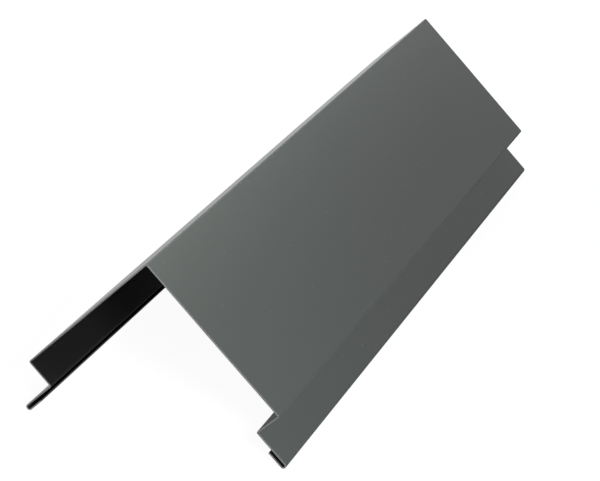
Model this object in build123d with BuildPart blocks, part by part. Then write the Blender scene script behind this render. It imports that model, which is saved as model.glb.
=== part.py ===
from build123d import *
import math
import os

# Ridge cap for a metal roof: one strip of thin coated steel, folded along straight lines.
# Seen from its end it is a roof shape: two wings meet at the ridge, each wing drops by a
# short step at its foot, and a flange carries on down the slope and ends in an open hem.
# Millimetres. X is across the ridge, Y runs along it and Z is up. The cap stands on its two
# hems, with the origin on the floor under the middle of the ridge line.

# Sheet and folds
sheet = 1.0
bend_radius = 0.5          # inside radius of every fold but the hems

# Section, measured on the outer face between the sharp corners of the folds
ridge_angle = 90.6         # between the two wings, which spring open a little
wing_width = 125.0
step_height = 21.0         # square to the wing
flange_width = 28.0        # from the step to the outermost line of the hem
hem_gap = 2.4              # clear space inside the folded hem
hem_return = 14.0          # from the outermost line of the hem back to the cut edge

# Length along the ridge
cap_length = 510.0

# Worked out from the sizes above
slope = 90.0 - ridge_angle / 2
down = math.sin(math.radians(slope))
across = math.cos(math.radians(slope))
outer_radius = bend_radius + sheet
hem_radius = hem_gap / 2 + sheet
flange_flat = flange_width - hem_radius
return_flat = hem_return - hem_radius
ridge_height = (wing_width + flange_flat) * down + (step_height + hem_radius) * across + hem_radius

os.makedirs("parts", exist_ok=True)


with BuildPart() as ridge_cap:
    with BuildSketch(Plane.XZ):
        with BuildLine() as outer_face:
            # Right half of the outer face, from the sharp ridge down to the cut edge in the hem
            wing = PolarLine((0, ridge_height), wing_width, -slope)
            step = PolarLine(wing @ 1, step_height, -slope - 90)
            flange = PolarLine(step @ 1, flange_flat, -slope)
            hem = JernArc(flange @ 1, flange % 1, hem_radius, -180)
            PolarLine(hem @ 1, return_flat, direction=hem % 1)

            # The outer face is the outside of the fold at the wing's foot, and the inside of the
            # fold at the step's foot
            wing_foot = outer_face.vertices().sort_by_distance(wing @ 1)[0]
            fillet(wing_foot, outer_radius)
            step_foot = outer_face.vertices().sort_by_distance(step @ 1)[0]
            fillet(step_foot, bend_radius)

            # The left half, and the ridge fold between the two
            mirror(about=Plane.YZ)
            ridge = outer_face.vertices().sort_by(Axis.Y)[-1]
            fillet(ridge, outer_radius)

            # The sheet's thickness, towards the inner face
            offset(amount=sheet, side=Side.RIGHT)
        make_face()
    extrude(amount=cap_length / 2, both=True)
ridge_cap.part.label = "ridge_cap"
export_step(ridge_cap.part, "parts/ridge_cap.step")
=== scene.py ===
import math

import bpy
import numpy as np
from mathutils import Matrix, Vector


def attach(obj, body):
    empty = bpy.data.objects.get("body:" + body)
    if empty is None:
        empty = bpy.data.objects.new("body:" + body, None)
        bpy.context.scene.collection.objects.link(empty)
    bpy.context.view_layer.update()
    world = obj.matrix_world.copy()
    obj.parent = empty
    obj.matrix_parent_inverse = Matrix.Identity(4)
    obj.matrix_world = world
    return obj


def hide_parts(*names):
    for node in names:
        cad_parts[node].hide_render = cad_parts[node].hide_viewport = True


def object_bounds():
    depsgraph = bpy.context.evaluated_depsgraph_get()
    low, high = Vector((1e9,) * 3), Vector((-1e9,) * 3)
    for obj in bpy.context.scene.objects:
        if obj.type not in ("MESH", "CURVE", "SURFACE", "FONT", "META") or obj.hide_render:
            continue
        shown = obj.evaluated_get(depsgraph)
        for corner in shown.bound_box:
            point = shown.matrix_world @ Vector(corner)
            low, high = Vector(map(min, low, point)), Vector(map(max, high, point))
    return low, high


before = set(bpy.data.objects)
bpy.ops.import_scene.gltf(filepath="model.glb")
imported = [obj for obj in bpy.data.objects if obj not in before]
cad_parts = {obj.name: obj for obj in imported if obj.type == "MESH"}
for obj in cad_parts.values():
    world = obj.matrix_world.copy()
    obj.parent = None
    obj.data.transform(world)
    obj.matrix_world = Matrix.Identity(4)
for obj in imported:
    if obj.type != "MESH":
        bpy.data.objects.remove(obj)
cad_low, cad_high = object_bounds()


# The camera stands 1.4 m from the cap, to the right of its near end and a little above it. From
# there the left wing is seen along its own plane and the right wing nearly square on.
camera_place = (0.48619, -1.16031, 0.62543)
camera_turn_deg = (64.6476, -0.1044, 23.0338)
camera_lens_mm = 111.76
camera_sensor_mm = 36.0
camera_nearest = 0.05

camera_data = bpy.data.cameras.new("camera")
camera_data.lens = camera_lens_mm
camera_data.sensor_width = camera_sensor_mm
camera_data.clip_start = camera_nearest
camera = bpy.data.objects.new("camera", camera_data)
camera.location = camera_place
camera.rotation_euler = [math.radians(turn) for turn in camera_turn_deg]
bpy.context.scene.collection.objects.link(camera)
bpy.context.scene.camera = camera


# The ridge cap's shape. It is one strip of coated steel, sheared to width, creased along seven
# straight lines in a folding machine and hemmed along both edges. The flat wings wander a
# little from true, as thin sheet does between its folds, and the left one bows out.
sheet = 0.001
bend_radius = 0.0005
ridge_angle_deg = 90.6
wing_width = 0.125
step_height = 0.021
flange_width = 0.028
hem_gap = 0.0024
hem_return = 0.014
rim_radius = 0.00012        # the rolled-over corners that the shears leave
edge_strip = 0.0002         # narrow faces beside each fold and rim, which keep the flats flat

# How the wings differ from flat: two waves along the ridge, and the left wing's bow
wander = 0.00012
long_wave, long_share, long_start = 0.31, 0.6, 0.7
short_wave, short_share, short_start = 0.19, 0.4, 2.1
short_slant = 4.0           # how far the short wave shifts from the ridge to the wing's foot
bow = 0.0008                # how far the left wing stands out at its far end

# How many faces each stretch of the section has, and how the rest of the mesh is divided
return_faces, hem_faces, flange_faces, step_foot_faces = 5, 16, 10, 6
step_faces, wing_foot_faces, wing_faces, ridge_faces = 8, 8, 40, 12
row_spacing = 0.005
rim_steps = 3
rim_tightening = 0.8        # of each inset, taken off the loop's own corners as it shrinks

outer_radius = bend_radius + sheet
hem_radius = hem_gap / 2 + sheet
ridge_turn_deg = 180.0 - ridge_angle_deg
ridge_arc = outer_radius * math.radians(ridge_turn_deg)
wing_flat = wing_width - outer_radius - outer_radius * math.tan(math.radians(ridge_turn_deg / 2))


def flat(width, steps):
    """A flat stretch of the section, with a narrow strip at each end."""
    strip = (edge_strip, 0.0, 1, 0.0)
    return [strip, (width - 2 * edge_strip, 0.0, steps, 0.0), strip]


def fold(radius, turn_deg, steps):
    """A fold of the section: an arc of that radius on the outer face, turning to the left."""
    return [(radius * math.radians(abs(turn_deg)), turn_deg, steps, 1.0)]


def outer_line():
    """The outer face of the section, from the right cut edge over the ridge to the left one.

    Each flat is its fold-to-fold size less, at each end, the fold's outer radius times the
    tangent of half its turn. The stretches are walked from end to end: a step of length d that
    turns by a moves on by d times sin(a/2)/(a/2), along the mean of its two headings, which is
    exact for an arc. The points are the running sums of the steps. Returns the points, their
    headings, their distances along the sheet and a mark that is 1 on a fold.
    """
    half = (
        flat(hem_return - hem_radius - rim_radius, return_faces)
        + fold(hem_radius, 180.0, hem_faces)
        + flat(flange_width - hem_radius - bend_radius, flange_faces)
        + fold(bend_radius, -90.0, step_foot_faces)
        + flat(step_height - bend_radius - outer_radius, step_faces)
        + fold(outer_radius, 90.0, wing_foot_faces)
        + flat(wing_flat, wing_faces)
    )
    stretches = half + fold(outer_radius, ridge_turn_deg, ridge_faces) + half[::-1]
    length, turn_deg, steps, folded = (np.array(column) for column in zip(*stretches))
    step = np.repeat(length / steps, steps)
    turn = np.repeat(np.radians(turn_deg) / steps, steps)
    heading = np.radians(ridge_angle_deg / 2 - 90.0) + np.append(0.0, np.cumsum(turn))
    middle = (heading[:-1] + heading[1:]) / 2
    chord = step * np.sinc(turn / (2 * np.pi))
    x = np.append(0.0, np.cumsum(chord * np.cos(middle)))
    z = np.append(0.0, np.cumsum(chord * np.sin(middle)))
    x -= (x[0] + x[-1]) / 2
    z += cad_high.z - z.max()
    mark = np.repeat(folded, steps)
    mark = np.append(0.0, mark) * np.append(mark, 0.0)
    return np.stack([x, z], axis=1), heading, np.append(0.0, np.cumsum(step)), mark


def bar_loop(length, thickness, radius):
    """A closed loop of (y, t) round a bar of that length and thickness with rounded corners.

    It runs along the outer side, where t is negative, round the far end, back along the inner
    side and round the near end. Each corner is a quarter circle in even steps.
    """
    end = length / 2 - radius
    rows = max(2, round((cad_high.y - cad_low.y) / row_spacing))
    y = np.concatenate([[-end], np.linspace(edge_strip - end, end - edge_strip, rows), [end]])
    angle = np.linspace(0.0, np.pi / 2, rim_steps + 1)[1:]
    rim_y = end + radius * np.sin(np.append(angle, angle[::-1]))
    rim_t = thickness / 2 - radius + radius * np.cos(angle)
    rim_t = np.append(-rim_t, rim_t[::-1])
    side = np.full_like(y, thickness / 2)
    return (np.concatenate([y, rim_y, y[::-1], -rim_y]),
            np.concatenate([-side, rim_t, side, -rim_t]), len(y))


def folded_sheet():
    """The bar's loop carried along the outer line, as a closed shell of quads.

    A point is the middle of the sheet at s along the outer line, plus t along the inward
    normal, at y along the ridge. On the wings the middle wanders by two slow waves along the
    ridge, and on the left one it also bows out, by the squared sine of a quarter turn over the
    length. Both are times the squared sine of the place across the wing. Past the first and
    last line the loop shrinks round a quarter circle into the rounded cut edge, and a cap
    closes it.
    """
    line, heading, along, mark = outer_line()
    length = cad_high.y - cad_low.y
    inward = np.stack([-np.sin(heading), np.cos(heading)], axis=1)
    onward = np.stack([np.cos(heading), np.sin(heading)], axis=1)
    middle = line + inward * sheet / 2
    loop_y, loop_t, rows = bar_loop(length, sheet, rim_radius)
    across = np.clip((np.abs(along - along[-1] / 2) - ridge_arc / 2) / wing_flat, 0, 1)[:, None]
    waves = long_share * np.sin(2 * np.pi * loop_y / long_wave + long_start) + short_share * np.sin(
        2 * np.pi * loop_y / short_wave + short_slant * across + short_start)
    on_left = (along > along[-1] / 2)[:, None]
    bowed = on_left * bow * np.sin(np.pi / 2 * (loop_y / length + 0.5)) ** 2
    off = loop_t + np.sin(np.pi * across) ** 2 * (wander * waves - bowed)
    rings_xz = middle[:, None, :] + off[:, :, None] * inward[:, None, :]
    rings = np.stack([rings_xz[..., 0], np.broadcast_to(loop_y, off.shape), rings_xz[..., 1]], 2)

    # the rounded cut edges, at the start and the end of the outer line
    starts, ends = [], []
    for angle in np.linspace(0.0, np.pi / 2, rim_steps + 1)[1:]:
        inset = rim_radius * (1 - math.cos(angle))
        y, t, _ = bar_loop(length - 2 * inset, sheet - 2 * inset, rim_radius - rim_tightening * inset)
        for at, sign, made in ((0, -1, starts), (-1, 1, ends)):
            place = middle[at] + sign * rim_radius * math.sin(angle) * onward[at]
            xz = place + t[:, None] * inward[at]
            made.append(np.stack([xz[:, 0], y, xz[:, 1]], axis=1))
    rings = np.concatenate([starts[::-1], rings, ends])
    return rings, along, mark, rows


def cap_faces(ring, rows):
    """Closes a loop: quads from the outer row to the inner one, and a small face at each end."""
    rim = 2 * rim_steps
    outer = ring[:rows]
    inner = ring[rows + rim:2 * rows + rim][::-1]
    quads = np.stack([outer[:-1], outer[1:], inner[1:], inner[:-1]], axis=1)
    far = ring[rows - 1:rows + rim + 1]
    near = np.append(ring[2 * rows + rim - 1:], ring[0])
    return [*quads.tolist(), far.tolist(), near.tolist()]


rings, along, mark, rows = folded_sheet()
ring_count, loop_count = rings.shape[:2]
index = np.arange(ring_count * loop_count).reshape(ring_count, loop_count)
beside = np.roll(index, -1, axis=1)
quads = np.stack([index[:-1], beside[:-1], beside[1:], index[1:]], axis=2).reshape(-1, 4)
start_cap = [face[::-1] for face in cap_faces(index[0], rows)]
end_cap = cap_faces(index[-1], rows)

sheet_mesh = bpy.data.meshes.new("folded_sheet")
sheet_mesh.from_pydata(rings.reshape(-1, 3), [], quads.tolist() + start_cap + end_cap)

# Which finish each face has: 0 for the top coat, 1 for the back coat and 2 for a bare edge
OUTER, BACK, BARE = 0, 1, 2
finish = np.full((ring_count - 1, loop_count), BARE)
coated = slice(rim_steps, ring_count - 1 - rim_steps)
finish[coated, :rows - 1] = OUTER
finish[coated, rows + 2 * rim_steps:2 * rows + 2 * rim_steps - 1] = BACK
finish = np.append(finish.ravel(), [BARE] * (len(start_cap) + len(end_cap)))
sheet_mesh.polygons.foreach_set("material_index", finish.astype(np.int32))
sheet_mesh.polygons.foreach_set("use_smooth", finish != BARE)

# Places on the flat strip, in metres: u across it and v along the ridge, the distance to the
# nearest cut edge, and the mark of the folds
padded = np.pad(along, rim_steps, mode="edge")
u = np.repeat(padded[:, None], loop_count, axis=1)
v = rings[..., 1] - cad_low.y
to_edge = np.minimum(np.minimum(u, along[-1] - u), np.minimum(v, cad_high.y - cad_low.y - v))
folded = np.repeat(np.pad(mark, rim_steps)[:, None], loop_count, axis=1)
for name, values in (("to_edge", to_edge), ("folded", folded)):
    layer = sheet_mesh.attributes.new(name, "FLOAT", "POINT")
    layer.data.foreach_set("value", values.ravel().astype(np.float32))
corner = np.empty(len(sheet_mesh.loops), dtype=np.int32)
sheet_mesh.loops.foreach_get("vertex_index", corner)
flat_map = sheet_mesh.uv_layers.new(name="strip")
flat_map.uv.foreach_set("vector", np.stack([u.ravel(), v.ravel()], 1)[corner].ravel().astype(np.float32))
sheet_mesh.validate()
sheet_mesh.update()

cap = bpy.data.objects.new("folded_cap", sheet_mesh)
bpy.context.scene.collection.objects.link(cap)
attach(cap, "root")
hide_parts("ridge_cap")


# The grain that both coats share. Coil coat is laid by a roller on the moving strip: it levels
# to a fine orange peel, with faint bands along the strip and a slow cloudiness. A few specks of
# dust were caught in it while it was wet.
peel_size = 0.0011
peel_height = 0.000006
band_width = 0.006
band_squeeze = 0.03         # how much slower the bands change along the strip than across it
band_weight = 0.6
cloud_size = 0.07
cloud_weight = 1.4
speck_spacing = 0.026
speck_radius = 0.0014
speck_height = 0.00018
speck_share = 0.4           # of the places where a speck could be


def add_node(tree, kind, inputs=None, **settings):
    """Adds a node, sets its own settings, and links or sets each named input."""
    node = tree.nodes.new(kind)
    for name, value in settings.items():
        setattr(node, name, value)
    for name, value in (inputs or {}).items():
        if isinstance(value, bpy.types.NodeSocket):
            tree.links.new(value, node.inputs[name])
        else:
            node.inputs[name].default_value = value
    return node


def coat_grain_group():
    """Place on the strip in; tone from -1 to 1, the mask of the specks and height in metres out."""
    group = bpy.data.node_groups.new("coat_grain", "ShaderNodeTree")
    group.interface.new_socket("Place", in_out="INPUT", socket_type="NodeSocketVector")
    group.interface.new_socket("Tone", in_out="OUTPUT", socket_type="NodeSocketFloat")
    group.interface.new_socket("Speck", in_out="OUTPUT", socket_type="NodeSocketFloat")
    group.interface.new_socket("Height", in_out="OUTPUT", socket_type="NodeSocketFloat")
    given = group.nodes.new("NodeGroupInput").outputs["Place"]
    cloud = add_node(group, "ShaderNodeTexNoise", {
        "Vector": given, "Scale": 1 / cloud_size, "Detail": 3.0, "Roughness": 0.55})
    stretched = add_node(group, "ShaderNodeVectorMath", {0: given, 1: (1.0, band_squeeze, 1.0)},
                         operation="MULTIPLY")
    bands = add_node(group, "ShaderNodeTexNoise", {
        "Vector": stretched.outputs[0], "Scale": 1 / band_width, "Detail": 2.0})
    peel = add_node(group, "ShaderNodeTexNoise", {
        "Vector": given, "Scale": 1 / peel_size, "Detail": 1.0})
    slow = add_node(group, "ShaderNodeMath", {
        0: cloud.outputs["Fac"], 1: cloud_weight, 2: -cloud_weight / 2}, operation="MULTIPLY_ADD")
    lined = add_node(group, "ShaderNodeMath", {
        0: bands.outputs["Fac"], 1: band_weight, 2: -band_weight / 2}, operation="MULTIPLY_ADD")
    tone = add_node(group, "ShaderNodeMath", {0: slow.outputs[0], 1: lined.outputs[0]})

    # a speck stands on some of the scattered places, as a small round hill
    scattered = add_node(group, "ShaderNodeTexVoronoi", {
        "Vector": given, "Scale": 1 / speck_spacing}, voronoi_dimensions="2D")
    hill = add_node(group, "ShaderNodeMapRange", {
        "Value": scattered.outputs["Distance"], "From Min": speck_radius / speck_spacing,
        "From Max": 0.0}, interpolation_type="SMOOTHSTEP")
    chance = add_node(group, "ShaderNodeSeparateColor", {"Color": scattered.outputs["Color"]})
    kept = add_node(group, "ShaderNodeMath", {0: chance.outputs["Red"], 1: speck_share},
                    operation="LESS_THAN")
    speck = add_node(group, "ShaderNodeMath", {0: hill.outputs[0], 1: kept.outputs[0]},
                     operation="MULTIPLY")
    raised = add_node(group, "ShaderNodeMath", {0: speck.outputs[0], 1: speck_height},
                      operation="MULTIPLY")
    height = add_node(group, "ShaderNodeMath", {
        0: peel.outputs["Fac"], 1: peel_height, 2: raised.outputs[0]}, operation="MULTIPLY_ADD")
    given_out = group.nodes.new("NodeGroupOutput")
    group.links.new(tone.outputs[0], given_out.inputs["Tone"])
    group.links.new(speck.outputs[0], given_out.inputs["Speck"])
    group.links.new(height.outputs[0], given_out.inputs["Height"])
    return group


coat_grain = coat_grain_group()
ragged_scale = 700.0        # how finely the rubbed margin wanders, in turns to the metre
rubbed_most = 0.8           # how much of a coat is rubbed away at the very edge


def coat_material(name, colour, tone_share, roughness, roughness_swing, specular,
                  stretch_dulling, speck_paling, rubbed_colour, rubbed_width):
    """A rolled coat: its colour swung by the grain's tone, and rubbed near the cut edges.

    On a fold the coat is stretched, which crazes it finely and leaves it dull. A speck is paler.
    """
    material = bpy.data.materials.new(name)
    material.use_nodes = True
    tree = material.node_tree
    shader = tree.nodes["Principled BSDF"]
    place = add_node(tree, "ShaderNodeUVMap", uv_map="strip")
    grain = add_node(tree, "ShaderNodeGroup", node_tree=coat_grain)
    tree.links.new(place.outputs["UV"], grain.inputs["Place"])
    tone = add_node(tree, "ShaderNodeMapRange", {
        "Value": grain.outputs["Tone"], "From Min": -1.0, "From Max": 1.0,
        "To Min": 1 - tone_share, "To Max": 1 + tone_share})
    specked = add_node(tree, "ShaderNodeMath", {
        0: grain.outputs["Speck"], 1: speck_paling, 2: tone.outputs[0]}, operation="MULTIPLY_ADD")
    toned = add_node(tree, "ShaderNodeVectorMath", {0: colour, "Scale": specked.outputs[0]},
                     operation="SCALE")
    near_edge = add_node(tree, "ShaderNodeAttribute", attribute_name="to_edge")
    ragged = add_node(tree, "ShaderNodeTexNoise", {
        "Vector": place.outputs["UV"], "Scale": ragged_scale, "Detail": 4.0, "Roughness": 0.7})
    reach = add_node(tree, "ShaderNodeMath", {0: ragged.outputs["Fac"], 1: 2 * rubbed_width},
                     operation="MULTIPLY")
    past = add_node(tree, "ShaderNodeMath", {0: reach.outputs[0], 1: near_edge.outputs["Fac"]},
                    operation="SUBTRACT")
    rubbed = add_node(tree, "ShaderNodeMapRange", {
        "Value": past.outputs[0], "From Min": 0.0, "From Max": rubbed_width,
        "To Min": 0.0, "To Max": rubbed_most})
    mixed = add_node(tree, "ShaderNodeMix", {
        "Factor": rubbed.outputs[0], "A": toned.outputs[0], "B": rubbed_colour},
        data_type="VECTOR")
    tree.links.new(mixed.outputs["Result"], shader.inputs["Base Color"])
    gloss = add_node(tree, "ShaderNodeMapRange", {
        "Value": grain.outputs["Tone"], "From Min": -1.0, "From Max": 1.0,
        "To Min": roughness - roughness_swing, "To Max": roughness + roughness_swing})
    on_fold = add_node(tree, "ShaderNodeAttribute", attribute_name="folded")
    duller = add_node(tree, "ShaderNodeMath", {
        0: on_fold.outputs["Fac"], 1: stretch_dulling, 2: gloss.outputs[0]},
        operation="MULTIPLY_ADD")
    tree.links.new(duller.outputs[0], shader.inputs["Roughness"])
    shader.inputs["Specular IOR Level"].default_value = specular
    bump = add_node(tree, "ShaderNodeBump", {
        "Height": grain.outputs["Height"], "Distance": 1.0, "Strength": 1.0})
    tree.links.new(bump.outputs["Normal"], shader.inputs["Normal"])
    return material


# The top coat: satin grey polyester, rolled on the strip and baked before the strip was folded. It
# is dull where a fold stretched it, and rubbed along the sheared edges.
top_coat = coat_material(
    "top_coat", colour=(0.116, 0.131, 0.123), tone_share=0.03, roughness=0.30,
    roughness_swing=0.03, specular=0.22, stretch_dulling=0.3, speck_paling=0.25,
    rubbed_colour=(0.20, 0.21, 0.21), rubbed_width=0.0003)


# The back coat: one thin near-black wash on the underside, rolled on and baked with the top coat.
# It is duller than the top coat and less even.
back_coat = coat_material(
    "back_coat", colour=(0.015, 0.015, 0.015), tone_share=0.25, roughness=0.5,
    roughness_swing=0.05, specular=0.3, stretch_dulling=0.45, speck_paling=0.5,
    rubbed_colour=(0.04, 0.04, 0.04), rubbed_width=0.0002)


# The sheared edge: bare galvanised steel, cut through both coats by the shears. It is dull grey,
# finely mottled and rough.
edge_colour = (0.22, 0.225, 0.225)
edge_metallic = 0.5
edge_roughness = 0.45
mottle_scale = 1600.0       # in turns to the metre
mottle_low, mottle_high = 0.3, 0.7
darkest, brightest = 0.75, 1.2
mottle_height = 0.00002
bare_edge = bpy.data.materials.new("bare_edge")
bare_edge.use_nodes = True
edge_tree = bare_edge.node_tree
edge_shader = edge_tree.nodes["Principled BSDF"]
edge_place = add_node(edge_tree, "ShaderNodeTexCoord")
mottle = add_node(edge_tree, "ShaderNodeTexNoise", {
    "Vector": edge_place.outputs["Object"], "Scale": mottle_scale, "Detail": 3.0, "Roughness": 0.6})
edge_tone = add_node(edge_tree, "ShaderNodeMapRange", {
    "Value": mottle.outputs["Fac"], "From Min": mottle_low, "From Max": mottle_high,
    "To Min": darkest, "To Max": brightest})
edge_toned = add_node(edge_tree, "ShaderNodeVectorMath", {
    0: edge_colour, "Scale": edge_tone.outputs[0]}, operation="SCALE")
edge_tree.links.new(edge_toned.outputs[0], edge_shader.inputs["Base Color"])
edge_shader.inputs["Metallic"].default_value = edge_metallic
edge_shader.inputs["Roughness"].default_value = edge_roughness
edge_bump = add_node(edge_tree, "ShaderNodeBump", {
    "Height": mottle.outputs["Fac"], "Distance": mottle_height, "Strength": 1.0})
edge_tree.links.new(edge_bump.outputs["Normal"], edge_shader.inputs["Normal"])

for material in (top_coat, back_coat, bare_edge):
    sheet_mesh.materials.append(material)


# The floor is plain and white. Most of what is seen of it, straight or as a reflection, is its
# own light, which keeps it white and the cap's shadow pale. It isn't seen from below.
floor_size = 8.0
floor_colour = (0.86, 0.86, 0.86)
floor_own_light = 0.95
shadow_share = 0.25
floor_in_gloss = 0.8        # how much of its own light a reflection shows

floor_mesh = bpy.data.meshes.new("floor")
edge = floor_size / 2
floor_mesh.from_pydata([(-edge, -edge, 0), (edge, -edge, 0), (edge, edge, 0), (-edge, edge, 0)],
                       [], [(0, 1, 2, 3)])
floor = bpy.data.objects.new("floor", floor_mesh)
bpy.context.scene.collection.objects.link(floor)

floor_paint = bpy.data.materials.new("floor_paint")
floor_paint.use_nodes = True
floor_tree = floor_paint.node_tree
floor_tree.nodes.clear()
matt = add_node(floor_tree, "ShaderNodeBsdfDiffuse", {"Color": (*floor_colour, 1.0)})
matt_seen = add_node(floor_tree, "ShaderNodeBsdfDiffuse", {
    "Color": (*(shadow_share * c for c in floor_colour), 1.0)})
own_light = add_node(floor_tree, "ShaderNodeEmission", {"Strength": floor_own_light})
seen = add_node(floor_tree, "ShaderNodeAddShader", {0: matt_seen.outputs[0], 1: own_light.outputs[0]})
ray = add_node(floor_tree, "ShaderNodeLightPath")
straight = add_node(floor_tree, "ShaderNodeMath", {
    0: ray.outputs["Is Camera Ray"], 1: ray.outputs["Is Transmission Ray"]}, operation="MAXIMUM")
in_gloss = add_node(floor_tree, "ShaderNodeMath", {
    0: ray.outputs["Is Glossy Ray"], 1: floor_in_gloss}, operation="MULTIPLY")
shown = add_node(floor_tree, "ShaderNodeMath", {
    0: straight.outputs[0], 1: in_gloss.outputs[0]}, operation="MAXIMUM")
from_above = add_node(floor_tree, "ShaderNodeMixShader", {
    0: shown.outputs[0], 1: matt.outputs[0], 2: seen.outputs[0]})
clear = add_node(floor_tree, "ShaderNodeBsdfTransparent")
side = add_node(floor_tree, "ShaderNodeNewGeometry")
floor_surface = add_node(floor_tree, "ShaderNodeMixShader", {
    0: side.outputs["Backfacing"], 1: from_above.outputs[0], 2: clear.outputs[0]})
add_node(floor_tree, "ShaderNodeOutputMaterial", {"Surface": floor_surface.outputs[0]})
floor_mesh.materials.append(floor_paint)


# The light: a faint white room, a key lamp in front on the right, a long narrow lamp close above
# the ridge, a little lower at its near end, and a large round one low behind on the left. What is
# seen of the room, straight or as a reflection, is plain white.
room_level = 0.016
lamps = {                   # shape, width, length, watts, place
    "key_lamp": ("ELLIPSE", 0.2, 0.2, 3.77, (0.52, -0.69, 0.44)),
    "ridge_lamp": ("RECTANGLE", 0.08, 1.4, 0.37, (0.0, -0.006, 0.19)),
    "back_lamp": ("ELLIPSE", 0.6, 0.6, 5.0, (-0.6, 1.2, 0.5)),
}
lamp_aim = (0.0, 0.0, 0.08)

world = bpy.data.worlds.new("room")
bpy.context.scene.world = world
world.use_nodes = True
room_tree = world.node_tree
room_tree.nodes.clear()
room_ray = add_node(room_tree, "ShaderNodeLightPath")
seen_bare = add_node(room_tree, "ShaderNodeMath", {
    0: room_ray.outputs["Is Camera Ray"], 1: room_ray.outputs["Is Transmission Ray"]},
    operation="MAXIMUM")
room_shown = add_node(room_tree, "ShaderNodeMath", {
    0: seen_bare.outputs[0], 1: room_ray.outputs["Is Glossy Ray"]}, operation="MAXIMUM")
level = add_node(room_tree, "ShaderNodeMapRange", {
    "Value": room_shown.outputs[0], "To Min": room_level, "To Max": 1.0})
room_light = add_node(room_tree, "ShaderNodeBackground", {
    "Color": (1.0, 1.0, 1.0, 1.0), "Strength": level.outputs[0]})
add_node(room_tree, "ShaderNodeOutputWorld", {"Surface": room_light.outputs[0]})

for name, (shape, width, length, watts, place) in lamps.items():
    lamp_data = bpy.data.lights.new(name, "AREA")
    lamp_data.shape = shape
    lamp_data.size = width
    lamp_data.size_y = length
    lamp_data.energy = watts
    lamp = bpy.data.objects.new(name, lamp_data)
    lamp.location = place
    toward = np.subtract(lamp_aim, place)
    pitch = math.acos(-toward[2] / np.linalg.norm(toward))
    yaw = math.atan2(toward[1], toward[0]) - math.pi / 2
    lamp.rotation_euler = (pitch, 0.0, yaw)
    bpy.context.scene.collection.objects.link(lamp)

bpy.context.scene.view_settings.view_transform = "Standard"
